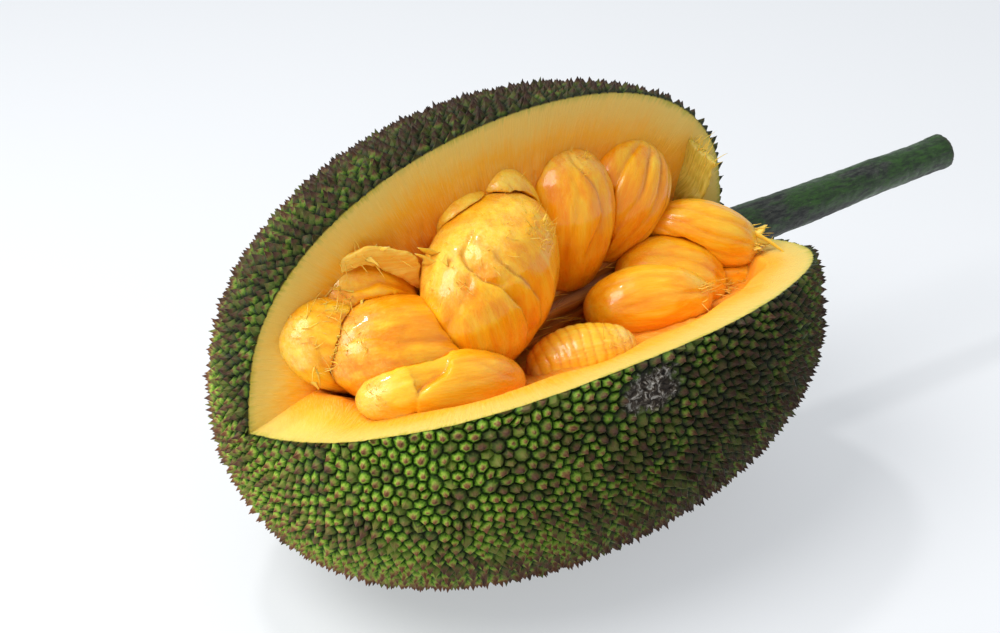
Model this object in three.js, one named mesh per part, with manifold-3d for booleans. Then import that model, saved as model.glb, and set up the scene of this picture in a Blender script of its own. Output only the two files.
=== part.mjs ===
// A jackfruit lying on its side, with a wedge of rind cut away so that its arils show.
// Millimetres, +Z up. +X runs along the fruit's own axis towards the stem, and -Y is the opened side.
// The origin is on the small flat spot on the underside, straight below the middle of the axis.
import * as THREE from "three";
import { mergeVertices } from "three/addons/utils/BufferGeometryUtils.js";
import Module from "manifold-3d";

const wasm = await Module();
wasm.setup();

// ---- driving dimensions ------------------------------------------------------------------

const HALF_LENGTH = 171; // of the fruit without its stem
const HALF_WIDTH = 131; // from the axis to the front, and up to the top
const UNDERSIDE = 0.84; // the lower half is this much flatter than the upper half
const BLUNTNESS = 0.335; // 0.5 is an ellipse and less is blunter
const STEM_END_SWELL = 0.026; // the fruit is this much wider towards the stem
const BACK_FULLNESS = 1.075; // the back is this much wider than the front at mid length
const BACK_LEAN = 0.187; // and wider by this much more towards the stem
const FLAT_SPOT_DEPTH = 5; // how far the underside is pressed flat

// The two knife cuts meet in a line along the fruit. Angles are from straight up, towards -Y.
const CUT_LINE = { y: 11, z: 5.7 };
const BACK_CUT_DEG = 2.5;
const FRONT_CUT_DEG = 72.7;
const MIDDLE_DEG = (BACK_CUT_DEG + FRONT_CUT_DEG) / 2;

// The hollow left in the front half when its cut-away arils came out.
const HOLLOW = { inset: 34, depth: 13 }; // from the skin, and below the front cut

const GAP = 0.35; // between pieces that touch

const STEM = { from: [150, 3, 12], bend: [236, -7, 16], to: [340, -19, 21] };
const STEM_RADIUS = { base: 14, neck: 12, tip: 10.2 };
const STEM_NECK_AT = 0.25; // how far along the stem its neck is
const CORE = { from: [-96, 12, -10], to: [146, 13, 30], radius: 19 };

const REST_HEIGHT = HALF_WIDTH * UNDERSIDE - FLAT_SPOT_DEPTH; // of the axis above the floor

// ---- solids ------------------------------------------------------------------------------

const radians = THREE.MathUtils.degToRad;
const vector = (p) => new THREE.Vector3(...p);

// A closed geometry as a manifold solid.
function solid(geometry) {
  const bare = geometry.clone();
  bare.deleteAttribute("normal");
  bare.deleteAttribute("uv");
  const merged = mergeVertices(bare, 1e-3);
  return new wasm.Manifold(
    new wasm.Mesh({
      numProp: 3,
      vertProperties: merged.attributes.position.array,
      triVerts: new Uint32Array(merged.index.array),
    }),
  );
}

// The largest body of a solid, as a geometry.
function geometryOf(made) {
  const largest = made.decompose().sort((a, b) => b.volume() - a.volume())[0];
  const mesh = largest.getMesh();
  return new THREE.BufferGeometry()
    .setAttribute("position", new THREE.BufferAttribute(mesh.vertProperties, 3))
    .setIndex(new THREE.BufferAttribute(mesh.triVerts, 1));
}

// Moves each vertex of a unit sphere whose poles lie on X to the place that shape(point) gives.
function shapedSphere(around, along, shape) {
  const sphere = new THREE.SphereGeometry(1, around, along).rotateZ(-Math.PI / 2);
  const position = sphere.attributes.position;
  const point = new THREE.Vector3();
  for (let i = 0; i < position.count; i++) {
    point.fromBufferAttribute(position, i);
    position.setXYZ(i, ...shape(point).toArray());
  }
  return sphere;
}

// ---- the fruit's body --------------------------------------------------------------------

// The outside of the fruit, or the same shape inset by a depth.
function fruitBody(inset) {
  return shapedSphere(44, 28, (p) => {
    const across = Math.hypot(p.y, p.z) || 1;
    const swell = 1 + STEM_END_SWELL * p.x;
    const radius = (HALF_WIDTH - inset) * swell * Math.max(0, 1 - p.x * p.x) ** BLUNTNESS;
    const y = (p.y / across) * radius * (p.y > 0 ? BACK_FULLNESS + BACK_LEAN * p.x : 1);
    const z = (p.z / across) * radius * (p.z < 0 ? UNDERSIDE : 1);
    return new THREE.Vector3(p.x * (HALF_LENGTH - inset), y, z);
  });
}

// A long prism between the two cuts, with the front one lowered by a depth.
function wedge(depth) {
  const back = radians(BACK_CUT_DEG);
  const down = depth / Math.sin(radians(FRONT_CUT_DEG - BACK_CUT_DEG));
  const y = CUT_LINE.y + down * Math.sin(back);
  const z = CUT_LINE.z - down * Math.cos(back);
  const beyond = 3 * HALF_LENGTH;
  const outline = new THREE.Shape();
  outline.moveTo(y, z);
  for (const angle of [BACK_CUT_DEG, MIDDLE_DEG, FRONT_CUT_DEG].map(radians)) {
    outline.lineTo(y - beyond * Math.sin(angle), z + beyond * Math.cos(angle));
  }
  const prism = new THREE.ExtrudeGeometry(outline, { depth: beyond, bevelEnabled: false });
  // The outline's x and y become the fruit's y and z.
  prism.applyMatrix4(
    new THREE.Matrix4().makeBasis(
      new THREE.Vector3(0, 1, 0),
      new THREE.Vector3(0, 0, 1),
      new THREE.Vector3(1, 0, 0),
    ),
  );
  return prism.translate(-beyond / 2, 0, 0);
}

// ---- arils -------------------------------------------------------------------------------

// Each aril runs from its root at the core to its outer end, which had grown against the rind.
// taper above 0 makes the outer end the fatter one, and bow bends its middle outwards.
const ARILS = [
  { name: "centre", from: [-21, -8, 8], to: [-45, -10, 86], width: 103, depth: 58, taper: 0.14, bow: 6 },
  { name: "left_front", from: [-50, -18, 16], to: [-132, -12, 45], width: 58, depth: 48, taper: 0, bow: 5 },
  { name: "front_long", from: [-46, -50, 16], to: [-136, -35, 30], width: 36, depth: 32, taper: 0, bow: 4 },
  { name: "right_lower", from: [26, -20, 16], to: [88, -54, 18], width: 38, depth: 34, taper: -0.05, bow: 5 },
  { name: "right_upper", from: [62, -8, 23], to: [119, -34, 4], width: 48, depth: 38, taper: 0.05, bow: 6 },
  { name: "stem_end", from: [90, -2, 42], to: [143, -38, 21], width: 34, depth: 34, taper: 0.05, bow: 5 },
  { name: "tall_left", from: [38, 10, 12], to: [39, 12, 96], width: 55, depth: 50, taper: 0.18, bow: 4 },
  { name: "tall_right", from: [56, 8, 26], to: [100, 16, 84], width: 56, depth: 46, taper: 0.2, bow: 5 },
  { name: "ribbed", from: [-27, -33, 6], to: [23, -62, 15], width: 33, depth: 29, taper: 0, bow: 4 },
  { name: "small_top", from: [11, 12, 43], to: [-12, 9, 97], width: 33, depth: 30, taper: 0.1, bow: 3 },
  { name: "centre_back", from: [-17, 12, 31], to: [-36, 8, 91], width: 46, depth: 36, taper: 0.1, bow: 3 },
  { name: "left_back", from: [-62, 16, 34], to: [-117, 18, 66], width: 47, depth: 40, taper: 0.05, bow: 4 },
  { name: "left_end", from: [-90, 4, 17], to: [-145, 8, 55], width: 47, depth: 42, taper: 0.05, bow: 4 },
  { name: "stem_small", from: [106, -16, 8], to: [138, -42, 10], width: 22, depth: 20, taper: 0, bow: 2 },
];

const ARIL_BLUNTNESS = 0.43;
const OUTWARD = new THREE.Vector3(0, -Math.sin(radians(MIDDLE_DEG)), Math.cos(radians(MIDDLE_DEG)));

// An ovoid from one point to another. extra makes it larger all round, to cut its neighbours.
function ovoid({ from, to, width, depth, taper, bow }, extra, around = 18, along = 12) {
  const start = vector(from);
  const run = vector(to).sub(start);
  const length = run.length() + 2 * extra;
  const shape = shapedSphere(around, along, (p) => {
    const across = Math.hypot(p.y, p.z) || 1;
    const girth = Math.max(0, 1 - p.x * p.x) ** ARIL_BLUNTNESS * (1 + taper * p.x);
    const y = (p.y / across) * girth * (width / 2 + extra);
    const z = (p.z / across) * girth * (depth / 2 + extra) + bow * (1 - p.x * p.x);
    return new THREE.Vector3((p.x * length) / 2, y, z);
  });
  const forward = run.clone().normalize();
  const side = OUTWARD.clone().cross(forward).normalize();
  const out = forward.clone().cross(side);
  shape.applyMatrix4(new THREE.Matrix4().makeBasis(forward, side, out));
  return shape.translate(...start.addScaledVector(run, 0.5).toArray());
}

// ---- core, stem and rag ------------------------------------------------------------------

// The fibrous core that the arils grow on, ending at the stem.
function core(extra) {
  const { from, to, radius } = CORE;
  return ovoid({ from, to, width: 2 * radius, depth: 2 * radius, taper: 0.1, bow: 0 }, extra, 14, 12);
}

// A closed tube of changing radius along a curve.
function taperedTube(curve, radiusAt, steps, sides) {
  const frames = curve.computeFrenetFrames(steps, false);
  const position = [];
  const index = [];
  for (let i = 0; i <= steps; i++) {
    const centre = curve.getPointAt(i / steps);
    for (let j = 0; j < sides; j++) {
      const angle = (2 * Math.PI * j) / sides;
      const at = centre
        .clone()
        .addScaledVector(frames.normals[i], radiusAt(i / steps) * Math.cos(angle))
        .addScaledVector(frames.binormals[i], radiusAt(i / steps) * Math.sin(angle));
      position.push(...at.toArray());
    }
  }
  for (let i = 0; i < steps; i++) {
    for (let j = 0; j < sides; j++) {
      const [a, b] = [i * sides + j, i * sides + ((j + 1) % sides)];
      index.push(a, b, a + sides, b, b + sides, a + sides);
    }
  }
  const [first, last] = [position.length / 3, position.length / 3 + 1];
  position.push(...curve.getPointAt(0).toArray(), ...curve.getPointAt(1).toArray());
  for (let j = 0; j < sides; j++) {
    const next = (j + 1) % sides;
    index.push(first, next, j, last, steps * sides + j, steps * sides + next);
  }
  return new THREE.BufferGeometry()
    .setAttribute("position", new THREE.Float32BufferAttribute(position, 3))
    .setIndex(index);
}

function stem(extra) {
  const curve = new THREE.CatmullRomCurve3([STEM.from, STEM.bend, STEM.to].map(vector));
  const { base, neck, tip } = STEM_RADIUS;
  const { mapLinear } = THREE.MathUtils;
  const radiusAt = (t) =>
    t < STEM_NECK_AT
      ? extra + mapLinear(t, 0, STEM_NECK_AT, base, neck)
      : extra + mapLinear(t, STEM_NECK_AT, 1, neck, tip);
  return taperedTube(curve, radiusAt, 12, 16);
}

// Torn sheets of rag, the tissue between the arils: a route, a width and a thickness.
const RAGS = [
  {
    name: "rag_left_flap",
    route: [
      [-120, 20, 56],
      [-105, 10, 71],
      [-86, 2, 72],
      [-69, 0, 54],
    ],
    width: 22,
    thickness: 5,
  },
  {
    name: "rag_stem_fan",
    route: [
      [121, 16, 30],
      [129, 6, 50],
      [133, -2, 72],
    ],
    width: 26,
    thickness: 5,
  },
];

function rag({ route, width, thickness }, extra) {
  const section = new THREE.Shape();
  section.absellipse(0, 0, thickness / 2 + extra, width / 2 + extra, 0, 2 * Math.PI);
  const curve = new THREE.CatmullRomCurve3(route.map(vector));
  return new THREE.ExtrudeGeometry(section, {
    steps: 10,
    curveSegments: 6,
    extrudePath: curve,
    bevelEnabled: false,
  });
}

// ---- assembly ----------------------------------------------------------------------------

const SKIN = new THREE.MeshStandardMaterial({ color: 0x4d6b2a, roughness: 0.7 });
const BARK = new THREE.MeshStandardMaterial({ color: 0x24502a, roughness: 0.55 });
const FLESH = new THREE.MeshStandardMaterial({ color: 0xf5ae24, roughness: 0.35 });
const PITH = new THREE.MeshStandardMaterial({ color: 0xe0ad58, roughness: 0.6 });

const fruit = new THREE.Group();
fruit.position.z = REST_HEIGHT;

// Adds a solid as a named mesh whose own origin is the middle of its box.
function addPiece(name, made, material) {
  const geometry = geometryOf(made);
  geometry.computeBoundingBox();
  const middle = geometry.boundingBox.getCenter(new THREE.Vector3());
  geometry.translate(-middle.x, -middle.y, -middle.z);
  const mesh = new THREE.Mesh(geometry, material);
  mesh.name = name;
  mesh.position.copy(middle);
  fruit.add(mesh);
}

// Each piece is cut by the ones before it, and taken, made larger by the gap, out of the ones after.
let taken = solid(stem(GAP));
addPiece("stem", solid(stem(0)), BARK);

const coreSolid = solid(core(0)).subtract(taken);
addPiece("core", coreSolid, PITH);
taken = taken.add(solid(core(GAP)));

for (const aril of ARILS) {
  addPiece(`aril_${aril.name}`, solid(ovoid(aril, 0)).subtract(taken), FLESH);
  taken = taken.add(solid(ovoid(aril, GAP)));
}
for (const sheet of RAGS) {
  addPiece(sheet.name, solid(rag(sheet, 0)).subtract(taken), PITH);
  taken = taken.add(solid(rag(sheet, GAP)));
}

const floor = new THREE.BoxGeometry(4 * HALF_LENGTH, 4 * HALF_LENGTH, 2 * HALF_LENGTH);
floor.translate(0, 0, -REST_HEIGHT - HALF_LENGTH);
const hollow = solid(fruitBody(HOLLOW.inset)).intersect(solid(wedge(HOLLOW.depth)));
const opened = solid(fruitBody(0)).subtract(solid(wedge(0))).subtract(hollow);
addPiece("rind", opened.subtract(solid(floor)).subtract(taken), SKIN);

export default fruit;
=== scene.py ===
"""The jackfruit's visual: its spiny rind, cut flesh, arils, core, rag and stem, on a pale floor."""

import math

import bmesh
import bpy
import numpy as np
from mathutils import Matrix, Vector, kdtree


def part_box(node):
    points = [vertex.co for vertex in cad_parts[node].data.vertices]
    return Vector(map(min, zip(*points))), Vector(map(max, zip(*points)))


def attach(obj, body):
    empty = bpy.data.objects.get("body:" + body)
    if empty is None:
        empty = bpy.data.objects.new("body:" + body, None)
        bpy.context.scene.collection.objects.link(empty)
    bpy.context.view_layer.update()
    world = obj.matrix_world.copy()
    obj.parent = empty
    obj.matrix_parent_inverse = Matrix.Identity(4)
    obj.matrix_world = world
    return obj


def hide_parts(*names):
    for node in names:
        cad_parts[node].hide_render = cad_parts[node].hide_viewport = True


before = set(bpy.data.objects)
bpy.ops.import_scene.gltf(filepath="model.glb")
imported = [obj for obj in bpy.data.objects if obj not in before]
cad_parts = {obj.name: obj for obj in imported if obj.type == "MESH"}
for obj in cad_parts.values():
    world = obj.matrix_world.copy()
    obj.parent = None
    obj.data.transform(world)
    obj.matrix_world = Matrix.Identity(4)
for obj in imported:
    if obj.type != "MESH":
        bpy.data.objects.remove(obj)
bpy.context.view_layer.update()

MM = 0.001
random = np.random.default_rng(11)

# ---- the fruit's shape, as in the CAD --------------------------------------------------------

RIND_LOW, RIND_HIGH = (np.array(corner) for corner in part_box("rind"))
HALF_LENGTH = (RIND_HIGH[0] - RIND_LOW[0]) / 2
HALF_WIDTH = -RIND_LOW[1]
UNDERSIDE = 0.84  # the lower half is this much flatter than the upper half
BLUNTNESS = 0.335
STEM_END_SWELL = 0.026
BACK_FULLNESS, BACK_LEAN = 1.075, 0.187  # the back is this much wider than the front
FLAT_SPOT_DEPTH = 5 * MM
AXIS_HEIGHT = HALF_WIDTH * UNDERSIDE - FLAT_SPOT_DEPTH

# The two cuts meet in a line along the fruit. Angles are from straight up, towards -Y.
CUT_LINE = np.array([0, 11 * MM, AXIS_HEIGHT + 5.7 * MM])
BACK_CUT = math.radians(2.5)
FRONT_CUT = math.radians(72.7)
MIDDLE = (BACK_CUT + FRONT_CUT) / 2
RIND_THICKNESS = 30 * MM
FRONT_HOLLOW = 14 * MM  # how far it sinks below the front cut
# Towards the blossom end the hollow fades out, and fibres fill the corner between the cuts.
HOLLOW_START = (-0.85 * HALF_LENGTH, -0.45 * HALF_LENGTH)
CORNER_FILL = {"height": 26 * MM, "reach": 60 * MM}
CORE_HOLLOW = {"depth": 8 * MM, "reach": 34 * MM}  # behind the cuts, round the line where they meet
OUTWARD = np.array([0, -math.sin(MIDDLE), math.cos(MIDDLE)])


def underside(up):
    """How much the height above or below the axis is scaled."""
    return np.where(up < 0, UNDERSIDE, 1)


def fullness(u, back):
    """How much the distance towards the back is scaled at u along the axis."""
    return np.where(back > 0, BACK_FULLNESS + BACK_LEAN * u, 1)


def body_radius(u, inset):
    """The radius at u, which runs from -1 at the blossom end to 1 at the stem end."""
    taper = np.maximum(0, 1 - u * u) ** BLUNTNESS
    return (HALF_WIDTH - inset) * (1 + STEM_END_SWELL * u) * taper


def on_body(u, angle, inset):
    """Points on the fruit's outside, or inset below it. angle is from straight up, towards -Y."""
    radius = body_radius(u, inset)
    back, up = -radius * np.sin(angle), radius * np.cos(angle)
    return np.stack(
        [u * (HALF_LENGTH - inset), back * fullness(u, back), AXIS_HEIGHT + up * underside(up)],
        axis=-1,
    )


def body_normal(u, angle, inset):
    """Outward unit normals of that surface."""
    du, da = 1e-4, 1e-4
    inside = np.clip(u, -1 + 2 * du, 1 - 2 * du)
    along = on_body(inside + du, angle, inset) - on_body(inside - du, angle, inset)
    around = on_body(inside, angle + da, inset) - on_body(inside, angle - da, inset)
    return unit(np.cross(around, along))


def unit(vectors):
    return vectors / np.linalg.norm(vectors, axis=-1, keepdims=True)


def body_place(points):
    """u, angle and inset of any points in the fruit, found by halving."""
    x, y, z = points[:, 0], points[:, 1], points[:, 2] - AXIS_HEIGHT
    least = np.full(len(points), -6 * MM)
    most = np.full(len(points), HALF_WIDTH * 0.97)
    for _ in range(30):
        inset = (least + most) / 2
        u = x / (HALF_LENGTH - inset)
        held = np.clip(u, -1, 1)
        outside = np.hypot(y / fullness(held, y), z / underside(z)) - body_radius(held, inset)
        beyond = (outside > 0) | (np.abs(u) > 1)
        most = np.where(beyond, inset, most)
        least = np.where(beyond, least, inset)
    u = np.clip(x / (HALF_LENGTH - inset), -1, 1)
    return u, np.arctan2(-y / fullness(u, y), z / underside(z)), inset


def noise3(points, size, seed=0):
    """Smooth noise from -1 to 1, with lumps about this big."""
    place = np.asarray(points) / size + 31.7 * seed
    cell = np.floor(place).astype(np.int64)
    part = place - cell
    part = part * part * (3 - 2 * part)
    total = np.zeros(len(place))
    for corner in np.ndindex(2, 2, 2):
        at = (cell + corner) & 0xFFFF
        mixed = (at[:, 0] * 73856093) ^ (at[:, 1] * 19349663) ^ (at[:, 2] * 83492791)
        mixed = ((mixed & 0xFFFFFFFF) * 2654435761) & 0xFFFFFFFF
        mixed = ((mixed ^ (mixed >> 15)) * 2246822519) & 0xFFFFFFFF
        value = ((mixed >> 8) & 0xFFFF) / 32767.5 - 1
        total += value * np.prod(np.where(corner, part, 1 - part), axis=1)
    return total


def smooth_step(value, start, end):
    part = np.clip((value - start) / (end - start), 0, 1)
    return part * part * (3 - 2 * part)


# ---- meshes ----------------------------------------------------------------------------------


def new_object(name, vertices, faces):
    mesh = bpy.data.meshes.new(name)
    mesh.from_pydata([tuple(v) for v in vertices], [], [tuple(f) for f in faces])
    return link(name, mesh)


def link(name, mesh):
    made = bpy.data.objects.new(name, mesh)
    bpy.context.scene.collection.objects.link(made)
    return made


def applied(source, name):
    """A new object with the shape that source has after its modifiers, which then goes."""
    bpy.context.view_layer.update()
    graph = bpy.context.evaluated_depsgraph_get()
    mesh = bpy.data.meshes.new_from_object(source.evaluated_get(graph), depsgraph=graph)
    bpy.data.objects.remove(source)
    return link(name, mesh)


def points_of(mesh, field="co"):
    values = np.empty(len(mesh.vertices) * 3)
    if field == "normal":
        mesh.vertex_normals.foreach_get("vector", values)
    else:
        mesh.vertices.foreach_get(field, values)
    return values.reshape(-1, 3)


def set_points(mesh, points):
    mesh.vertices.foreach_set("co", np.asarray(points).ravel())
    mesh.update()


def store(mesh, name, values):
    """Stores one number, or one vector, for each vertex."""
    kind, field = ("FLOAT", "value") if np.ndim(values) == 1 else ("FLOAT_VECTOR", "vector")
    layer = mesh.attributes.new(name, kind, "POINT")
    layer.data.foreach_set(field, np.asarray(values, dtype=np.float32).ravel())


def finish_piece(piece, material, nodes=(), crease_deg=None):
    """Shades a piece smooth, gives it its material and ties it to the CAD."""
    piece.data.materials.clear()
    piece.data.materials.append(material)
    piece.data.polygons.foreach_set("material_index", np.zeros(len(piece.data.polygons), dtype=int))
    piece.data.shade_smooth()
    if crease_deg:
        piece.data.set_sharp_from_angle(angle=math.radians(crease_deg))
    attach(piece, "root")
    if nodes:
        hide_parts(*nodes)


# ---- materials -------------------------------------------------------------------------------


def colour(code):
    """The linear colour of an sRGB code such as c08040."""
    channels = [int(code[i : i + 2], 16) / 255 for i in (0, 2, 4)]
    linear = (c / 12.92 if c < 0.04045 else ((c + 0.055) / 1.055) ** 2.4 for c in channels)
    return tuple(linear) + (1,)


class Shader:
    """A material whose nodes are added in code."""

    def __init__(self, name):
        self.material = bpy.data.materials.new(name)
        self.material.use_nodes = True
        self.tree = self.material.node_tree
        self.tree.nodes.clear()
        self.surface = self.add("BsdfPrincipled")
        output = self.add("OutputMaterial")
        self.tree.links.new(self.surface.outputs["BSDF"], output.inputs["Surface"])

    def add(self, kind, inputs=None, **settings):
        node = self.tree.nodes.new("ShaderNode" + kind)
        for key, value in settings.items():
            setattr(node, key, value)
        for key, value in (inputs or {}).items():
            self.put(node, key, value)
        return node

    def put(self, node, key, value):
        if isinstance(value, bpy.types.NodeSocket):
            self.tree.links.new(value, node.inputs[key])
        else:
            node.inputs[key].default_value = value

    def set(self, **inputs):
        """Inputs of the surface, with _ for a space in their names."""
        for key, value in inputs.items():
            self.put(self.surface, key.replace("_", " "), value)

    def attribute(self, name, field="Fac"):
        return self.add("Attribute", attribute_name=name).outputs[field]

    def place(self):
        return self.add("TexCoord").outputs["Object"]

    def math(self, operation, a, b=0.0):
        return self.add("Math", {0: a, 1: b}, operation=operation).outputs[0]

    def scaled(self, vector, factors):
        return self.add("VectorMath", {0: vector, 1: factors}, operation="MULTIPLY").outputs[0]

    def noise(self, vector, scale, detail=4.0, roughness=0.6, distortion=0.0):
        settings = {
            "Vector": vector,
            "Scale": scale,
            "Detail": detail,
            "Roughness": roughness,
            "Distortion": distortion,
        }
        return self.add("TexNoise", settings).outputs["Fac"]

    def between(self, value, low, high, to_low=0.0, to_high=1.0):
        """value from low..high taken to to_low..to_high, and held there outside."""
        node = self.add("MapRange", {0: value, 1: low, 2: high, 3: to_low, 4: to_high})
        return node.outputs[0]

    def mix(self, factor, a, b, blend="MIX"):
        inputs = {0: factor, 6: a, 7: b}
        return self.add("Mix", inputs, data_type="RGBA", blend_type=blend).outputs[2]

    def ramp(self, factor, stops):
        node = self.add("ValToRGB", {0: factor})
        elements = node.color_ramp.elements
        while len(elements) < len(stops):
            elements.new(1.0)
        for element, (position, code) in zip(elements, stops):
            element.position = position
            element.color = colour(code)
        return node.outputs[0]

    def bump(self, height, distance, strength=1.0, normal=None):
        inputs = {"Height": height, "Distance": distance, "Strength": strength}
        if normal is not None:
            inputs["Normal"] = normal
        return self.add("Bump", inputs).outputs[0]


def skin_material():
    """Green spikes with brown tips, browner in patches, with near-black painted shade in the seams and
    painted light and shade across the fruit.
    """
    s = Shader("spiny_skin")
    place = s.place()
    height = s.attribute("spike_height")
    tint = s.attribute("spike_tint")
    fine = s.noise(place, 900, 3, 0.7)
    patches = s.noise(place, 26, 3, 0.6)
    brownness = s.math("ADD", s.math("MULTIPLY", patches, 1.15), s.math("MULTIPLY", tint, 0.55))
    brownness = s.math("ADD", brownness, s.attribute("weathered"))
    level = s.math("ADD", height, s.math("MULTIPLY", s.math("SUBTRACT", fine, 0.5), 0.6))
    # level runs from the seams between spikes up to the tips. The near-black colours at its low end in
    # both ramps are painted shade in the seams.
    green = s.ramp(
        level,
        [
            (0.0, "0c1803"),
            (0.12, "284409"),
            (0.28, "557619"),
            (0.42, "788a34"),
            (0.54, "735c32"),
            (0.72, "563421"),
        ],
    )
    brown = s.ramp(
        level,
        [
            (0.0, "090903"),
            (0.12, "1c2408"),
            (0.28, "38421a"),
            (0.42, "4f4224"),
            (0.60, "4c3326"),
            (1.0, "2e2018"),
        ],
    )
    base = s.mix(s.between(brownness, 0.60, 0.84), green, brown)
    lime = s.mix(s.between(tint, 0.82, 0.96, 0.0, 0.5), base, s.mix(0.5, base, colour("7d9a30")))
    # Painted light and shade: the colour is multiplied brighter towards the lower blossom end and
    # darker on top and at the stem end.
    side_lit = s.mix(1.0, lime, s.attribute("painted_light_and_shade", "Vector"), "MULTIPLY")
    scar = s.attribute("scar")
    cork = s.ramp(
        s.noise(place, 240, 6, 0.72, 1.2),
        [(0.36, "120d0a"), (0.47, "332a22"), (0.53, "564d42"), (0.57, "98928a"), (0.68, "c4c0b6")],
    )
    s.set(
        Base_Color=s.mix(scar, side_lit, cork),
        Roughness=s.between(fine, 0.35, 0.6, 0.32, 0.66),
        Specular_IOR_Level=0.2,
        Normal=s.bump(s.noise(place, 700, 4, 0.75), 0.5 * MM, 0.8),
    )
    return s.material


def flesh_material():
    """The cut rind: pale and streaked across, green next to the skin, orange at the hollow."""
    s = Shader("cut_flesh")
    place = s.place()
    depth = s.attribute("depth_mm")
    along = s.attribute("along", "Vector")
    streak = s.noise(s.scaled(along, (0.55, 0.03, 0.05)), 1.0, 5, 0.65)
    strands = s.noise(s.scaled(along, (2.6, 0.10, 0.2)), 1.0, 4, 0.7)
    cloud = s.noise(place, 30, 3, 0.5)
    reach = s.math("MULTIPLY", s.math("SUBTRACT", streak, 0.5), 10.0)
    uneven = s.math("ADD", depth, reach)
    clouded = s.math("ADD", uneven, s.math("MULTIPLY", s.math("SUBTRACT", cloud, 0.5), 16.0))
    pale = s.ramp(
        s.math("DIVIDE", clouded, 50.0),
        [
            (0.04, "cbbc4a"),
            (0.12, "e9d06c"),
            (0.32, "f3ca5c"),
            (0.50, "feb824"),
            (0.70, "ffa80c"),
            (1.0, "fc9c08"),
        ],
    )
    stringiness = s.between(depth, 20.0, 45.0, 0.30, 0.55)
    stringy = s.math("MULTIPLY", s.between(strands, 0.48, 0.70), stringiness)
    fibred = s.mix(stringy, pale, colour("fde79a"))
    green = s.between(uneven, 2.0, 8.0, 0.60, 0.0)
    greened = s.mix(green, fibred, colour("83a12c"))
    skin_line = s.between(depth, 4.0, 5.0, 1.0, 0.0)
    edged = s.mix(skin_line, greened, colour("232d0a"))
    s.set(
        Base_Color=edged,
        Roughness=s.between(strands, 0.3, 0.7, 0.40, 0.58),
        Specular_IOR_Level=0.3,
        Subsurface_Weight=0.25,
        Subsurface_Radius=(1.0, 0.8, 0.3),
        Subsurface_Scale=3 * MM,
        Normal=s.bump(strands, 0.8 * MM, 0.6, s.bump(streak, 1.5 * MM, 0.4)),
    )
    return s.material


def pod_material():
    """Wet yellow-orange pulp with fine streaks lengthwise, pale where it is torn, with painted shade:
    deeper orange at the root end and in pleats, creases and rings.
    """
    s = Shader("aril_pulp")
    grain = s.attribute("grain", "Vector")
    broad = s.noise(s.scaled(grain, (0.14, 0.14, 0.022)), 1.0, 3, 0.55, 0.4)
    fine = s.noise(s.scaled(grain, (0.9, 0.9, 0.05)), 1.0, 4, 0.65)
    wet = s.noise(s.scaled(grain, (0.24, 0.24, 0.05)), 1.0, 3, 0.55)
    hollow = s.attribute("hollow")
    torn = s.attribute("torn")
    yellowness = s.math("ADD", broad, s.between(s.attribute("ripe"), -1.0, 1.0, 0.4, -0.4))
    pulp = s.ramp(
        yellowness,
        [
            (0.10, "ec8400"),
            (0.34, "f9a004"),
            (0.52, "ffb814"),
            (0.72, "ffcf38"),
            (0.95, "fbdf80"),
        ],
    )
    reach = s.add("SeparateXYZ", {0: grain}).outputs[2]
    # Painted shade: darker, deeper orange towards the root end, down in the cavity.
    root_shaded = s.mix(s.between(reach, -40, 4, 0.55, 0.0), pulp, colour("f28a00"))
    streaked = s.mix(s.between(fine, 0.54, 0.75, 0.0, 0.4), root_shaded, colour("ffdc58"))
    # Painted shade: pleat valleys, creases and rings darken towards deep orange.
    deep = s.mix(s.between(hollow, 0.0, 1.0, 0.0, 0.8), streaked, colour("dc7a02"))
    wool = s.noise(s.scaled(grain, (0.5, 0.5, 0.16)), 1.0, 5, 0.8, 1.2)
    woolly = s.math("MULTIPLY", torn, s.between(wool, 0.45, 0.62, 0.1, 0.6))
    frayed = s.mix(woolly, deep, colour("ffe286"))
    smooth_bump = s.bump(fine, 0.4 * MM, 0.5, s.bump(wet, 1.4 * MM, 0.45))
    s.set(
        Base_Color=frayed,
        Roughness=s.between(fine, 0.35, 0.75, 0.24, 0.44),
        Specular_IOR_Level=0.35,
        Coat_Weight=0.5,
        Coat_Roughness=0.08,
        Subsurface_Weight=0.25,
        Subsurface_Radius=(1.0, 0.72, 0.08),
        Subsurface_Scale=4 * MM,
        Normal=s.bump(s.math("MULTIPLY", torn, wool), 0.7 * MM, 0.5, smooth_bump),
    )
    return s.material


def rag_material(name, pale, deep, hollow):
    """Thin fibrous tissue with strands lengthwise, darkened towards its last colour as painted shade
    where the hollow attribute is set.
    """
    s = Shader(name)
    grain = s.attribute("grain", "Vector")
    strands = s.noise(s.scaled(grain, (0.9, 0.9, 0.05)), 1.0, 4, 0.7)
    base = s.mix(s.between(strands, 0.38, 0.62), colour(deep), colour(pale))
    s.set(
        Base_Color=s.mix(s.attribute("hollow"), base, colour(hollow)),
        Roughness=0.36,
        Specular_IOR_Level=0.5,
        Subsurface_Weight=0.4,
        Subsurface_Radius=(1.0, 0.6, 0.12),
        Subsurface_Scale=3 * MM,
        Normal=s.bump(strands, 0.7 * MM, 0.6),
    )
    return s.material


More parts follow.
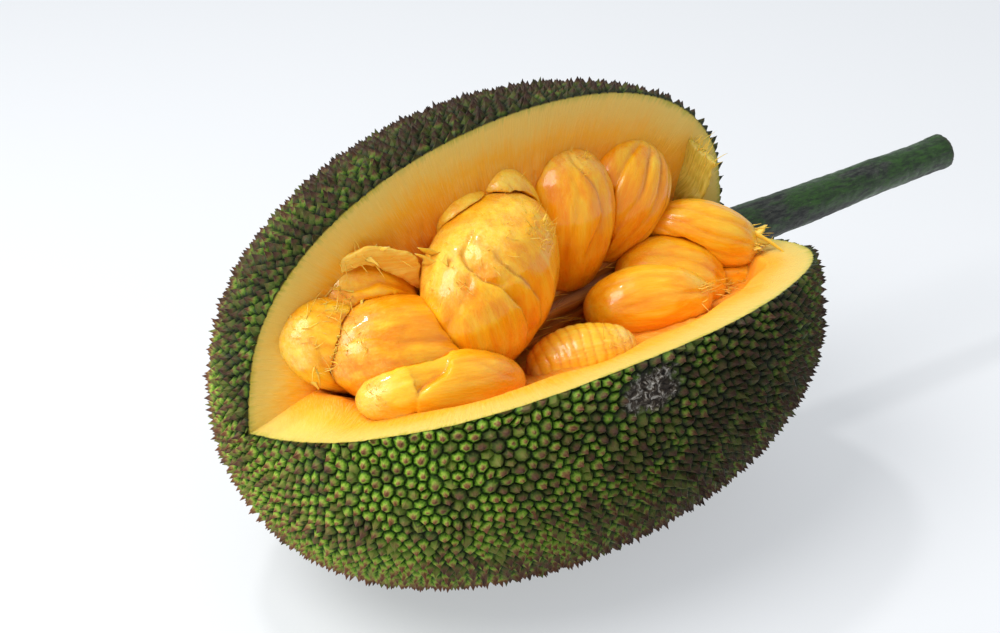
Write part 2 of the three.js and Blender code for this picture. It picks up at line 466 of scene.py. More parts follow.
def bark_material():
    """Dark green smooth bark with grey-black corky blotches and a dry cut end."""
    s = Shader("stem_bark")
    grain = s.attribute("grain", "Vector")
    place = s.place()
    blotch = s.noise(s.scaled(grain, (0.055, 0.055, 0.022)), 1.0, 5, 0.68, 0.5)
    fine = s.noise(s.scaled(grain, (0.5, 0.5, 0.15)), 1.0, 5, 0.7)
    green = s.mix(s.between(fine, 0.4, 0.65), colour("142a0c"), colour("2c5214"))
    bark = s.mix(s.between(fine, 0.42, 0.62), colour("0f1212"), colour("3c4039"))
    blotched = s.mix(s.between(blotch, 0.50, 0.60), green, bark)
    specks = s.between(s.noise(place, 1400, 2, 0.5), 0.68, 0.76, 0, 0.5)
    speckled = s.mix(specks, blotched, colour("8d8f7c"))
    dryness = s.between(s.noise(place, 500, 4, 0.7), 0.4, 0.6)
    dry = s.mix(dryness, colour("23211d"), colour("4a4439"))
    s.set(
        Base_Color=s.mix(s.attribute("cut_end"), speckled, dry),
        Roughness=s.between(blotch, 0.42, 0.62, 0.30, 0.6),
        Specular_IOR_Level=0.5,
        Normal=s.bump(fine, 0.6 * MM, 0.55, s.bump(blotch, 1.5 * MM, 0.4)),
    )
    return s.material


SKIN = skin_material()
FLESH = flesh_material()
PULP = pod_material()
# The last colour of each is painted shade where a piece sets its hollow attribute; only the core's
# grooves set it.
RAG = rag_material("rag", "ffd860", "fcbe3c", "dc8a10")
FAN = rag_material("greenish_rag", "dcc455", "b9a030", "8f7a22")
PITH = rag_material("pith", "e0983a", "b86c20", "84480f")
BARK = bark_material()

# ---- rind ------------------------------------------------------------------------------------

SPIKE_COUNT = 7900  # over the whole fruit, before the wedge goes
SPIKE_HEIGHT = 4.8 * MM
# Each ring of a spike: how far out from its middle towards its edge, and how high.
SPIKE_RINGS = [(0.82, 0.16), (0.34, 0.58)]
GOLDEN_ANGLE = math.pi * (3 - math.sqrt(5))
SPREAD_ROUNDS = 7
# The corky scar below the front cut: its place, and its half length and half height.
SCAR = {"u": -0.165, "angle": math.radians(75.5), "size": (17 * MM, 11 * MM)}


def spike_places():
    """u and angle of each spike, on a spiral, jostled and then pushed apart until evenly spread."""
    turn = np.linspace(0, math.pi, 6001)
    u = -np.cos(turn)
    radius = body_radius(u, 0)
    run = np.hypot(np.diff(u * HALF_LENGTH), np.diff(radius))
    area = np.concatenate([[0], np.cumsum(run * (radius[1:] + radius[:-1]) / 2)])
    share = (np.arange(SPIKE_COUNT) + 0.5) / SPIKE_COUNT
    place = np.interp(share, area / area[-1], turn)
    spacing = math.sqrt(2 * math.pi * area[-1] / SPIKE_COUNT)
    jostle = random.normal(0, 0.35, (2, SPIKE_COUNT)) * spacing
    u = np.clip(-np.cos(place) + jostle[0] * np.sin(place) / HALF_LENGTH, -0.9999, 0.9999)
    angle = np.arange(SPIKE_COUNT) * GOLDEN_ANGLE
    angle = angle + jostle[1] / np.maximum(body_radius(u, 0), spacing)
    for _ in range(SPREAD_ROUNDS):
        points = on_body(u, angle, 0)
        tree = kdtree.KDTree(SPIKE_COUNT)
        for i, point in enumerate(points):
            tree.insert(point, i)
        tree.balance()
        near = np.array([[found[1] for found in tree.find_n(point, 8)] for point in points])[:, 1:]
        apart = points[:, None] - points[near]
        distance = np.linalg.norm(apart, axis=-1, keepdims=True)
        push = apart / distance * np.maximum(0, 1.15 * spacing - distance)
        u, angle, _ = body_place(points + 0.35 * push.sum(axis=1))
        u = np.clip(u, -0.9999, 0.9999)
    return u, angle


def cells_round(points):
    """The triangles of the points' hull, and for each point its triangles in order round it."""
    bm = bmesh.new()
    for point in points / MM:
        bm.verts.new(point)
    bm.verts.index_update()
    bmesh.ops.convex_hull(bm, input=bm.verts)
    bm.faces.index_update()
    triangles = [[v.index for v in face.verts] for face in bm.faces]
    rings = []
    for vert in bm.verts:
        ring = []
        if vert.link_loops:
            first = loop = vert.link_loops[0]
            while True:
                ring.append(loop.face.index)
                loop = loop.link_loop_prev.link_loop_radial_next
                if loop == first:
                    break
        rings.append(ring)
    bm.free()
    return triangles, rings


def scar_weight(points):
    """1 in the middle of the scar, 0 outside its ragged edge."""
    middle = on_body(np.array([SCAR["u"]]), np.array([SCAR["angle"]]), 0)[0]
    offset = points - middle
    across = np.hypot(offset[:, 1], offset[:, 2]) / SCAR["size"][1]
    reach = np.hypot(offset[:, 0] / SCAR["size"][0], across)
    ragged = reach + 0.35 * noise3(points, 5 * MM, 3) + 0.2 * noise3(points, 2 * MM, 4)
    return 1 - smooth_step(ragged, 0.85, 1.1)


def spiny_solid():
    """The whole fruit with a pyramid of a few sides on each cell of its skin."""
    u, angle = spike_places()
    base = on_body(u, angle, SPIKE_HEIGHT)
    normal = body_normal(u, angle, SPIKE_HEIGHT)
    triangles, rings = cells_round(base)
    corners = base[np.array(triangles)].mean(axis=1)
    height = SPIKE_HEIGHT * np.clip(random.normal(0.97, 0.1, SPIKE_COUNT), 0.7, 1.15)
    height = height * (1 - 0.65 * scar_weight(base + normal * SPIKE_HEIGHT))
    lean = random.normal(0, 0.55 * MM, (SPIKE_COUNT, 3))
    vertices = list(corners)
    faces = []
    for i, ring in enumerate(rings):
        if len(ring) < 3:
            continue
        edge = corners[ring]
        middle = edge.mean(axis=0)
        if np.dot(np.cross(edge[0] - middle, edge[1] - middle), normal[i]) < 0:
            ring = ring[::-1]
            edge = edge[::-1]
        lower = ring
        for out, up in SPIKE_RINGS:
            first = len(vertices)
            rise = normal[i] * height[i] * up + lean[i] * up * up
            vertices.extend(middle + (edge - middle) * out + rise)
            upper = list(range(first, first + len(ring)))
            for j in range(len(ring)):
                k = (j + 1) % len(ring)
                faces.append((lower[j], lower[k], upper[k], upper[j]))
            lower = upper
        tip = len(vertices)
        vertices.append(middle + normal[i] * height[i] + lean[i])
        faces.extend((lower[j], lower[(j + 1) % len(ring)], tip) for j in range(len(ring)))
    vertices = np.array(vertices)
    vertices[:, 2] = np.maximum(vertices[:, 2], 0)
    return new_object("spiny_solid", vertices, faces), base


def swept_wedge(step):
    """A closed prism between the cuts, with its cut faces in relief."""
    outline = []
    for cut, side, sunk in ((BACK_CUT, 1, 0), (FRONT_CUT, -1, FRONT_HOLLOW)):
        direction = np.array([0, -math.sin(cut), math.cos(cut)])
        into_rind = side * np.array([0, math.cos(cut), math.sin(cut)])
        out = np.arange(0, 1.7 * HALF_WIDTH, step)
        out = out[::-1] if side > 0 else out[1:]
        outline.extend((CUT_LINE + direction * o, into_rind, sunk) for o in out)
    places, into_rind, sunk = (np.array(facts) for facts in zip(*outline))
    columns = np.arange(-HALF_LENGTH - 8 * MM, HALF_LENGTH + 8 * MM, step)
    vertices = []
    for x in columns:
        at = places + np.array([x, 0, 0])
        relief = into_rind * cut_relief(at, sunk)[:, None]
        vertices.append(at + relief + OUTWARD * corner_fill(at)[:, None])
    count = len(places)
    faces = []
    for i in range(len(columns) - 1):
        for j in range(count):
            k = (j + 1) % count
            faces.append((i * count + j, i * count + k, (i + 1) * count + k, (i + 1) * count + j))
    faces.append(tuple(range(count))[::-1])
    faces.append(tuple((len(columns) - 1) * count + j for j in range(count)))
    return new_object("wedge", np.concatenate(vertices), faces)


def cut_relief(points, sunk):
    """How far a cut face lies behind the flat cut: smooth near the skin, torn among the arils."""
    stretched = points * np.array([0.35, 1, 1])  # knife marks run along the fruit
    knife = 0.6 * MM * noise3(stretched, 26 * MM, 5) + 0.2 * MM * noise3(stretched, 2.5 * MM, 6)
    folds = np.abs(noise3(points * np.array([1, 0.5, 0.5]), 9 * MM, 7))
    torn = 1.8 * MM * noise3(points, 20 * MM, 8) - 2.4 * MM * folds
    torn = torn + 0.5 * MM * noise3(points, 3 * MM, 9)
    inset = body_place(points)[2] + 5 * MM * noise3(points, 30 * MM, 10)
    among = smooth_step(inset, RIND_THICKNESS, RIND_THICKNESS + 16 * MM)
    from_line = np.hypot(points[:, 1] - CUT_LINE[1], points[:, 2] - CUT_LINE[2])
    hollow = CORE_HOLLOW["depth"] * (1 - smooth_step(from_line, 0, CORE_HOLLOW["reach"])) * among
    sinking = smooth_step(inset, RIND_THICKNESS, RIND_THICKNESS + 12 * MM)
    opened = smooth_step(points[:, 0], *HOLLOW_START)
    return knife + torn * among + (hollow + sunk * sinking) * opened


def corner_fill(points):
    """How far the corner between the cuts is filled: most at the blossom end."""
    from_line = np.hypot(points[:, 1] - CUT_LINE[1], points[:, 2] - CUT_LINE[2])
    height = CORNER_FILL["height"] * (1 + 0.12 * noise3(points, 14 * MM, 11))
    closed = 1 - smooth_step(points[:, 0], *HOLLOW_START)
    closed *= smooth_step(body_place(points)[2], 0, 1.4 * RIND_THICKNESS)
    return height * (1 - smooth_step(from_line, 0, CORNER_FILL["reach"])) * closed


def outward_normals(made):
    """Makes a closed mesh's faces all look outwards."""
    bm = bmesh.new()
    bm.from_mesh(made.data)
    bmesh.ops.recalc_face_normals(bm, faces=bm.faces)
    bm.to_mesh(made.data)
    bm.free()


def cut(target, tool, name):
    """target with tool taken out of it. The tool goes."""
    modifier = target.modifiers.new("cut", "BOOLEAN")
    modifier.solver = "MANIFOLD"
    modifier.operation = "DIFFERENCE"
    modifier.object = tool
    result = applied(target, name)
    bpy.data.objects.remove(tool)
    return result


def with_slots(made, index):
    """Gives a solid both rind materials, with its own faces in one of them."""
    outward_normals(made)
    made.data.materials.append(SKIN)
    made.data.materials.append(FLESH)
    made.data.polygons.foreach_set("material_index", np.full(len(made.data.polygons), index))
    return made


def only_material(source, index, name):
    """A copy of a mesh with only the faces of one material."""
    bm = bmesh.new()
    bm.from_mesh(source.data)
    bmesh.ops.delete(bm, geom=[f for f in bm.faces if f.material_index != index], context="FACES")
    mesh = bpy.data.meshes.new(name)
    bm.to_mesh(mesh)
    bm.free()
    return link(name, mesh)


def build_rind():
    solid, seeds = spiny_solid()
    with_slots(solid, 0)
    solid = cut(solid, with_slots(swept_wedge(1.4 * MM), 1), "solid")
    skin = only_material(solid, 0, "rind_skin")
    flesh = only_material(solid, 1, "rind_flesh")
    bpy.data.objects.remove(solid)

    points = points_of(skin.data)
    u, angle, inset = body_place(points)
    store(skin.data, "spike_height", 1 - inset / SPIKE_HEIGHT)
    tree = kdtree.KDTree(len(seeds))
    for i, seed in enumerate(seeds):
        tree.insert(seed, i)
    tree.balance()
    tints = random.random(len(seeds))
    store(skin.data, "spike_tint", np.array([tints[tree.find(p)[1]] for p in points]))
    scar = scar_weight(points)
    store(skin.data, "scar", scar)
    # The top and the stem end have weathered browner. The skin's colour is also multiplied by painted
    # light and shade: up to twice as bright towards the lower blossom end, and darker on top and at
    # the stem end.
    towards_stem = 0.22 * smooth_step(u, -0.95, 0.4)
    towards_top = 0.15 * smooth_step(np.cos(angle), 0.2, 0.9)
    store(skin.data, "weathered", towards_stem + towards_top - 0.2)
    lit_side = 1 - np.clip((towards_stem + towards_top) / 0.3, 0, 1)
    store(skin.data, "painted_light_and_shade", np.repeat((0.62 + 1.35 * lit_side**2)[:, None], 3, axis=1))
    rough = (0.9 * MM * noise3(points, 2.2 * MM, 12) * scar)[:, None]
    set_points(skin.data, points + body_normal(u, angle, 0) * rough * (points[:, 2:] > MM))
    finish_piece(skin, SKIN, ["rind"], crease_deg=32)

    points = points_of(flesh.data)
    u, angle, inset = body_place(points)
    store(flesh.data, "depth_mm", inset / MM)
    steps = np.linspace(-1, 1, 4001)
    runs = np.hypot(np.diff(steps) * HALF_LENGTH, np.diff(body_radius(steps, 0)))
    along = np.interp(u, steps, np.concatenate([[0], np.cumsum(runs)])) / MM
    store(flesh.data, "along", np.stack([along, inset / MM, np.degrees(angle)], axis=-1))
    finish_piece(flesh, FLESH, ["rind"], crease_deg=60)


# ---- arils -----------------------------------------------------------------------------------

# For each aril: the direction that it grew in, its pleats as count and depth in mm, and where it has
# them its creases, and its rings by their depth in mm. A crease is a route of places along the aril,
# from -1 to 1, with degrees round it, then its depth and the half widths of its steep side and of its
# gentle side, in mm. torn is how ragged the outer end is, and ripe runs from -1 for pale to 1 for
# deep orange.
ARILS = {
    "aril_centre": {
        "grew": (-24, -2, 78),
        "pleats": (4, 0.7),
        "creases": [
            ([(-0.6, 34), (-0.14, 29), (0.18, 31), (0.56, 43), (0.82, 66), (0.94, 90)], 6.5, 1.6, 13),
            ([(-0.4, 2), (0.0, 4), (0.45, 16), (0.81, 36)], 2.8, 2.4, 9),
            ([(0.1, 100), (0.53, 84), (0.9, 70)], 1.0, 3, 6),
        ],
        "ripe": 0.0,
        "torn": 0.5,
    },
    "aril_left_front": {
        "grew": (-82, 6, 29),
        "pleats": (4, 0.7),
        "creases": [([(-0.9, 8), (-0.31, 11), (0.5, 13), (0.9, -20)], 1.8, 4, 9)],
        "ripe": 0.45,
        "torn": 0.6,
    },
    "aril_front_long": {
        "grew": (-90, 15, 14),
        "pleats": (4, 0.9),
        "creases": [
            ([(0.0, -30), (0.12, -7), (0.35, 9), (0.56, 32), (0.6, 64), (0.5, 90)], 4.5, 1.6, 10),
        ],
        "ripe": -0.2,
        "torn": 0.6,
    },
    "aril_right_lower": {
        "grew": (62, -34, 2),
        "pleats": (4, 0.6),
        "creases": [([(-0.6, -40), (0.1, -28), (0.9, -30)], 1.4, 4, 8)],
        "ripe": -0.1,
        "torn": 0.6,
    },
    "aril_right_upper": {
        "grew": (56, -28, -21),
        "pleats": (4, 0.7),
        "creases": [([(-0.7, 12), (0.0, 2), (0.8, -10)], 1.6, 4, 8)],
        "ripe": 0.0,
        "torn": 0.6,
    },
    "aril_stem_end": {"grew": (53, -36, -21), "pleats": (11, 1.3), "ripe": -0.1, "torn": 0.8},
    "aril_tall_left": {
        "grew": (0, 2, 89),
        "pleats": (4, 0.6),
        "creases": [
            ([(-0.5, 16), (-0.12, 4), (0.22, -14), (0.55, -12), (0.82, 0), (0.95, 16)], 2.4, 3, 9),
            ([(-0.5, 52), (0.1, 30), (0.6, 24), (0.8, 30)], 0.8, 3, 6),
        ],
        "ripe": 0.2,
        "torn": 0.5,
    },
    "aril_tall_right": {"grew": (44, 10, 58), "pleats": (12, 3.4), "ripe": 0.25, "torn": 0.5},
    "aril_ribbed": {
        "grew": (50, -29, 9),
        "pleats": (4, 0.6),
        "rings": 0.55,
        "ripe": -0.55,
        "torn": 0.9,
    },
    "aril_small_top": {
        "grew": (-23, -3, 54),
        "pleats": (5, 1.0),
        "creases": [([(-0.4, 20), (0.9, 10)], 1.8, 3, 6)],
        "ripe": -0.1,
        "torn": 0.5,
    },
    "aril_centre_back": {"grew": (-19, -4, 60), "pleats": (5, 0.9), "ripe": 0.0, "torn": 0.4},
    "aril_left_back": {
        "grew": (-56, 2, 32),
        "pleats": (6, 1.2),
        "creases": [([(-0.4, 16), (0.35, 15), (0.8, 40)], 2.6, 2, 8)],
        "ripe": 0.1,
        "torn": 0.8,
    },
    "aril_left_end": {
        "grew": (-55, 4, 38),
        "pleats": (5, 0.9),
        "creases": [([(-0.2, 75), (0.55, 66), (0.9, 40)], 1.2, 2, 8)],
        "ripe": 0.0,
        "torn": 0.9,
    },
    "aril_stem_small": {"grew": (32, -26, 2), "pleats": (6, 0.8), "ripe": -0.2, "torn": 0.7},
}

# Fibres and torn scraps: the node that they stand on, where along and round it, how many,
# their length and half width in mm, and how much they lean along it.
TATTERS = [
    ("aril_centre", (0.30, 0.78), (-62, -24), 60, 6, 0.22, 0.5),
    ("aril_centre", (0.45, 0.7), (-55, -35), 5, 7, 0.9, 0.8),
    ("aril_centre", (0.72, 1.0), (-60, 110), 60, 6, 0.28, -0.4),
    ("aril_centre", (0.80, 0.95), (90, 125), 3, 10, 3.2, 0.6),
    ("aril_left_front", (0.78, 0.98), (-90, 30), 26, 7, 0.3, 0.5),
    ("aril_left_end", (0.5, 1.0), (-100, 90), 90, 10, 0.3, -0.6),
    ("aril_left_end", (0.45, 0.98), (-100, 100), 10, 9, 1.2, -0.9),
    ("aril_left_back", (0.7, 1.0), (20, 110), 20, 8, 0.35, 0.5),
    ("aril_left_back", (0.5, 0.95), (20, 110), 5, 9, 1.4, 0.8),
    ("aril_front_long", (0.78, 1.0), (-60, 60), 12, 5, 0.28, 0.4),
    ("aril_right_upper", (0.5, 1.0), (-90, -20), 26, 8, 0.35, 0.7),
    ("aril_right_upper", (0.6, 0.95), (-80, -30), 5, 9, 1.8, 0.7),
    ("aril_right_lower", (0.7, 1.0), (-70, 10), 24, 7, 0.32, 0.7),
    ("aril_stem_end", (0.75, 1.0), (-100, 60), 30, 7, 0.35, 0.8),
    ("aril_stem_end", (0.75, 0.98), (-90, 20), 6, 10, 2.4, 0.8),
    ("aril_ribbed", (0.3, 0.95), (-30, 40), 22, 5, 0.18, 0.2),
    ("aril_small_top", (0.6, 1.0), (-60, 60), 10, 4, 0.25, 0.3),
    ("aril_stem_small", (0.2, 1.0), (-60, 60), 14, 6, 0.3, 0.7),
    ("aril_tall_left", (0.75, 1.0), (-50, 20), 16, 5, 0.28, 0.2),
    ("core", (-0.6, 0.5), (-120, 0), 60, 12, 0.25, 1.2),
    ("rag_left_flap", (-0.9, 0.6), (-180, 180), 40, 7, 0.4, 0.4),
    ("rag_left_flap", (-0.8, 0.4), (-180, 180), 6, 9, 2.0, 0.4),
    ("rag_stem_fan", (0.5, 1.0), (-180, 180), 30, 9, 0.35, 1.2),
]


# The size of the voxels and the rounds of smoothing that each kind of piece is remade with.
REMESH = {"aril": (1.2 * MM, 14), "core": (1.5 * MM, 6), "rag": (0.9 * MM, 10), "stem": (1.1 * MM, 10)}


def remeshed(node, name, voxel, rounds):
    """A fine smooth copy of a CAD node, grown back to the size it had before smoothing."""
    copy = link(name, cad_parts[node].data.copy())
    remesh = copy.modifiers.new("remesh", "REMESH")
    remesh.mode = "VOXEL"
    remesh.voxel_size = voxel
    smooth = copy.modifiers.new("smooth", "SMOOTH")
    smooth.factor = 0.5
    smooth.iterations = rounds
    made = applied(copy, name)
    for old in list(made.data.attributes):
        if not old.is_internal and not old.is_required:
            made.data.attributes.remove(old)
    points = points_of(made.data)
    low, high = (np.array(corner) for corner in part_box(node))
    middle, grown = (low + high) / 2, (high - low) / (points.max(axis=0) - points.min(axis=0))
    set_points(made.data, middle + (points - (points.max(axis=0) + points.min(axis=0)) / 2) * grown)
    return made


def local_place(points, grew):
    """How far along its direction each point is, from -1 to 1, its angle round it, and a grain."""
    forward = unit(np.array(grew, dtype=float))
    side = unit(np.cross(OUTWARD, forward))
    out = np.cross(forward, side)
    middle = (points.max(axis=0) + points.min(axis=0)) / 2
    offset = points - middle
    reach = offset @ forward
    half = (reach.max() - reach.min()) / 2
    along = (reach - (reach.max() + reach.min()) / 2) / half
    across, towards = offset @ side, offset @ out
    around = np.arctan2(across, towards)
    grain = np.stack([across, towards, reach], axis=-1) / MM
    return along, around, grain


def wrapped(angle):
    return (angle + math.pi) % (2 * math.pi) - math.pi


def crease_depth(along, around, size, crease):
    """How far a crease pushes each point in, in mm, and how much painted shade darkens it there."""
    route, depth, steep, gentle = crease
    places, degrees = np.array(route).T
    line = np.radians(np.interp(along, places, degrees))
    off = wrapped(around - line) * size / MM
    spread = np.where(off > 0, steep, gentle)
    near = np.exp(-((np.abs(off) / spread) ** 1.2))
    ends = smooth_step(along, places[0] - 0.1, places[0] + 0.2)
    ends *= 1 - smooth_step(along, places[-1] - 0.1, places[-1] + 0.1)
    return depth * near * ends, np.exp(-((off / (0.35 * steep + 0.8)) ** 2)) * ends


def surface_of(made, along, around, grew):
    """What fibres need to know of a finished piece to stand on it."""
    return points_of(made.data), points_of(made.data, "normal"), along, around, grew


def build_aril(node, facts, seed):
    """A CAD aril's shape with its pleats, creases and torn end. Returns its surface."""
    made = remeshed(node, node.replace("aril", "pulp"), *REMESH["aril"])
    points, normals = points_of(made.data), points_of(made.data, "normal")
    along, around, grain = local_place(points, facts["grew"])
    size = np.ptp(grain[:, 0]) * MM / 2
    line = 0.05 * noise3(points, 14 * MM, seed + 40)
    middle = 1 - smooth_step(np.abs(along), 0.6, 1.0)
    count, depth = facts["pleats"]
    wander = 2 / count * noise3(points, 24 * MM, seed) + 0.25 * along
    pleat = np.abs(np.sin(count * (around + wander) / 2))
    uneven = 0.6 + 0.4 * noise3(points, 16 * MM, seed + 20)
    push = -depth * (1 - pleat) ** 2 * uneven * (0.3 + 0.7 * middle)
    # sunk is painted shade: it darkens the pleat valleys, and below it the creases and rings, towards
    # deep orange.
    sunk = (1 - pleat) ** 3 * min(0.9, 0.25 + 0.18 * depth) * middle * uneven
    for crease in facts.get("creases", []):
        deep, crease_shade = crease_depth(along, around + line, size, crease)
        push -= deep
        sunk = np.maximum(sunk, crease_shade * min(1, crease[1] / 4))
    push += 0.8 * noise3(points, 21 * MM, seed + 60)
    wrinkles = noise3(grain * MM * np.array([1, 1, 0.35]), 3.2 * MM, seed + 70)
    push += 0.12 * wrinkles * smooth_step(along, -0.2, 0.6)
    ragged = along + 0.35 * noise3(points, 12 * MM, seed + 80)
    torn = facts["torn"] * smooth_step(ragged, 0.6, 0.95)
    lumps = 0.35 * noise3(points, 8 * MM, seed + 100)
    push += torn * (lumps + 0.12 * noise3(points, 2.4 * MM, seed + 120))
    if "rings" in facts:
        rings = np.abs(np.sin(along * 19 + 1.8 * noise3(points, 15 * MM, seed)))
        push -= facts["rings"] * (1 - rings) ** 2
        sunk = np.maximum(sunk, 0.8 * (1 - rings) ** 3)
    set_points(made.data, points + normals * push[:, None] * MM)
    store(made.data, "grain", grain)
    store(made.data, "hollow", np.clip(sunk, 0, 1))
    store(made.data, "torn", np.clip(torn * 1.4, 0, 1))
    store(made.data, "ripe", np.full(len(points), facts["ripe"]))
    finish_piece(made, PULP, [node])
    return surface_of(made, along, around, facts["grew"])


# ---- core, rag and fibres --------------------------------------------------------------------

STRAND_STEPS, STRAND_SIDES = 6, 6
GRAIN_SHIFTS = 97  # how many places in the grain the strands take in turn


def strand(start, direction, side, length, half_width, half_thickness):
    """The vertices and faces of a curled strand or scrap that narrows to a point."""
    thin = unit(np.cross(direction, side))
    curl = random.normal(0, 0.45, 3)
    vertices = []
    for i in range(STRAND_STEPS):
        t = i / STRAND_STEPS
        middle = start + length * (direction * t + curl * t * t * 0.6)
        narrow = (1 - t) ** 0.6 * (1 + 0.25 * math.sin(9 * t + curl[0] * 5))
        for j in range(STRAND_SIDES):
            turn = 2 * math.pi * j / STRAND_SIDES
            across = side * half_width * math.cos(turn) + thin * half_thickness * math.sin(turn)
            vertices.append(middle + across * narrow)
    vertices.append(start + length * (direction + curl * 0.6))
    faces = []
    for i in range(STRAND_STEPS - 1):
        for j in range(STRAND_SIDES):
            k = (j + 1) % STRAND_SIDES
            row, above = i * STRAND_SIDES, (i + 1) * STRAND_SIDES
            faces.append((row + j, row + k, above + k, above + j))
    last, tip = (STRAND_STEPS - 1) * STRAND_SIDES, STRAND_STEPS * STRAND_SIDES
    faces.extend((last + j, last + (j + 1) % STRAND_SIDES, tip) for j in range(STRAND_SIDES))
    faces.append(tuple(range(STRAND_SIDES))[::-1])
    return vertices, faces


def build_tatters(surfaces):
    """All the torn fibres and scraps that stand on the arils, the core and the rag."""
    vertices, faces, grain = [], [], []
    for node, (low, high), (first, last), count, length, half_width, lean in TATTERS:
        points, normals, along, around, grew = surfaces[node]
        degrees = np.degrees(around)
        fits = (along > low) & (along < high) & (degrees > first) & (degrees < last)
        choices = np.flatnonzero(fits)
        forward = unit(np.array(grew, dtype=float))
        for i in random.choice(choices, count):
            direction = unit(normals[i] * 0.55 + forward * lean + random.normal(0, 0.4, 3))
            side = unit(np.cross(direction, random.normal(0, 1, 3)))
            long = length * MM * random.uniform(0.5, 1.3)
            wide = half_width * MM * random.uniform(0.7, 1.3)
            start = points[i] - normals[i] * 0.6 * MM
            made, joined = strand(start, direction, side, long, wide, min(wide, 0.3 * MM))
            base = len(vertices)
            vertices.extend(made)
            faces.extend(tuple(base + j for j in face) for face in joined)
            reach = long / MM / len(made)
            grain.extend((j % STRAND_SIDES, i % GRAIN_SHIFTS, reach * j) for j in range(len(made)))
    made = new_object("tatters", vertices, faces)
    outward_normals(made)
    store(made.data, "grain", np.array(grain, dtype=float))
    store(made.data, "hollow", np.zeros(len(vertices)))
    finish_piece(made, RAG)


CORE_RUN = (1, 0, 0.05)


def build_core():
    made = remeshed("core", "core_pith", *REMESH["core"])
    points, normals = points_of(made.data), points_of(made.data, "normal")
    along, around, grain = local_place(points, CORE_RUN)
    ridges = np.abs(np.sin(5.5 * around + 1.5 * noise3(points, 30 * MM, 3)))
    push = -2.0 * MM * (1 - ridges) + 1.0 * MM * noise3(points * np.array([0.3, 1, 1]), 4 * MM, 5)
    set_points(made.data, points + normals * push[:, None])
    store(made.data, "grain", grain)
    # Painted shade in the grooves between the core's ridges.
    store(made.data, "hollow", np.clip((1 - ridges) * 0.8, 0, 1))
    finish_piece(made, PITH, ["core"])
    return surface_of(made, along, around, CORE_RUN)


def build_rag(node, grew, material, seed):
    made = remeshed(node, node + "_tissue", *REMESH["rag"])
    points, normals = points_of(made.data), points_of(made.data, "normal")
    along, around, grain = local_place(points, grew)
    folds = np.stack([noise3(points, 13 * MM, seed + i) for i in range(3)], axis=-1)
    push = 0.5 * MM * noise3(points, 4 * MM, seed + 5)
    set_points(made.data, points + 2.6 * MM * folds + normals * push[:, None])
    store(made.data, "grain", grain)
    store(made.data, "hollow", np.zeros(len(points)))
    finish_piece(made, material, [node])
    return surface_of(made, along, around, grew)


# ---- stem ------------------------------------------------------------------------------------

STEM_RUN = (190, -22, 9)


def build_stem():
    made = remeshed("stem", "stem_bark", *REMESH["stem"])
    points, normals = points_of(made.data), points_of(made.data, "normal")
    along, _, grain = local_place(points, STEM_RUN)
    flare = smooth_step(along, 0.86, 0.99)
    push = 0.5 * MM * noise3(points * np.array([0.4, 1, 1]), 12 * MM, 31)
    push += 0.25 * MM * noise3(points, 3 * MM, 32) + 0.8 * MM * flare
    sawn = along > 0.985
    push = np.where(sawn, 0.5 * MM * noise3(points, 2 * MM, 33), push)
    set_points(made.data, points + normals * push[:, None])
    store(made.data, "grain", grain)
    store(made.data, "cut_end", smooth_step(along, 0.955, 0.99))
    finish_piece(made, BARK, ["stem"])


# ---- camera, light and floor -----------------------------------------------------------------

AZIMUTH, ELEVATION = math.radians(-42.7), math.radians(27.8)
DISTANCE = 0.98
SENSOR = 36.0
FOCAL = 66.96
SHIFT = (-0.0212, 0.0258)

# Each light's place to the right of the fruit, away from the camera and up, in metres, then its size,
# its power in watts and its tint.
LIGHTS = {
    "key": ((-0.8, -0.55, 1.35), 1.1, 22, (1.0, 0.98, 0.95)),
    "spark": ((-0.5, 0.35, 1.6), 0.18, 6, (1.0, 0.99, 0.97)),
}
SKY_TINT, SKY_STRENGTH = (0.90, 0.95, 1.0, 1), 0.54
PAPER_TINT, PAPER_GLOW, PAPER_REACH = (0.43, 0.44, 0.455, 1), 1.05, 6.0


def towards_camera():
    flat = math.cos(ELEVATION)
    return Vector((math.sin(AZIMUTH) * flat, -math.cos(AZIMUTH) * flat, math.sin(ELEVATION)))


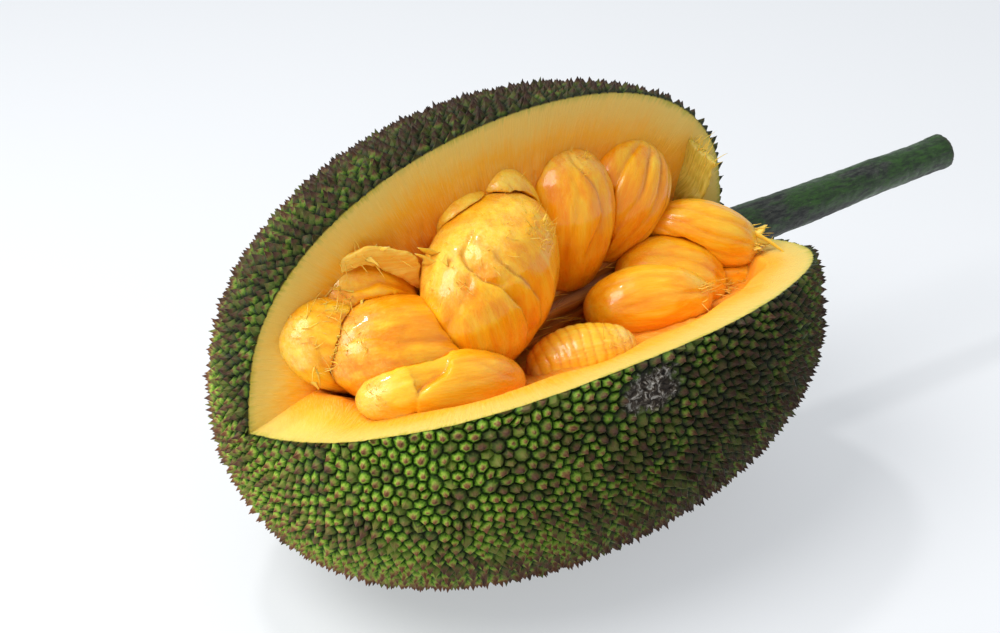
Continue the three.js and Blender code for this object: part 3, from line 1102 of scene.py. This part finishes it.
def build_camera():
    data = bpy.data.cameras.new("camera")
    data.sensor_width = SENSOR
    data.lens = FOCAL
    data.shift_x, data.shift_y = SHIFT
    camera = bpy.data.objects.new("camera", data)
    bpy.context.scene.collection.objects.link(camera)
    back = towards_camera()
    camera.location = Vector((0, 0, AXIS_HEIGHT)) + back * DISTANCE
    camera.rotation_euler = back.to_track_quat("Z", "Y").to_euler()
    bpy.context.scene.camera = camera


def area_light(name, place, size, power, tint):
    data = bpy.data.lights.new(name, "AREA")
    data.shape = "DISK"
    data.size = size
    data.energy = power
    data.color = tint
    light = bpy.data.objects.new(name, data)
    light.location = place
    from_fruit = Vector(place) - Vector((0, 0, AXIS_HEIGHT))
    light.rotation_euler = from_fruit.to_track_quat("Z", "Y").to_euler()
    bpy.context.scene.collection.objects.link(light)


def build_studio():
    back = towards_camera()
    away = Vector((-back.x, -back.y, 0)).normalized()
    up = Vector((0, 0, 1))
    right = away.cross(up)
    for name, ((rightward, backward, height), size, power, tint) in LIGHTS.items():
        place = right * rightward + away * backward + up * height
        area_light(name, place, size, power, tint)
    world = bpy.data.worlds.new("studio")
    world.use_nodes = True
    background = world.node_tree.nodes["Background"]
    background.inputs["Color"].default_value = SKY_TINT
    background.inputs["Strength"].default_value = SKY_STRENGTH
    bpy.context.scene.world = world
    ends = (-PAPER_REACH, PAPER_REACH)
    corners = [(x, y, 0) for x in ends for y in ends]
    floor = new_object("floor", corners, [(0, 2, 3, 1)])
    s = Shader("floor_paper")
    s.set(
        Base_Color=PAPER_TINT,
        Roughness=0.8,
        Specular_IOR_Level=0.2,
        Emission_Color=PAPER_TINT,
        Emission_Strength=PAPER_GLOW,
    )
    floor.data.materials.append(s.material)
    bpy.context.scene.view_settings.view_transform = "Standard"


build_camera()
build_studio()
build_rind()
surfaces = {node: build_aril(node, facts, i) for i, (node, facts) in enumerate(ARILS.items())}
surfaces["core"] = build_core()
surfaces["rag_left_flap"] = build_rag("rag_left_flap", (51, -20, 0), RAG, 50)
surfaces["rag_stem_fan"] = build_rag("rag_stem_fan", (12, -18, 42), FAN, 52)
build_tatters(surfaces)
build_stem()
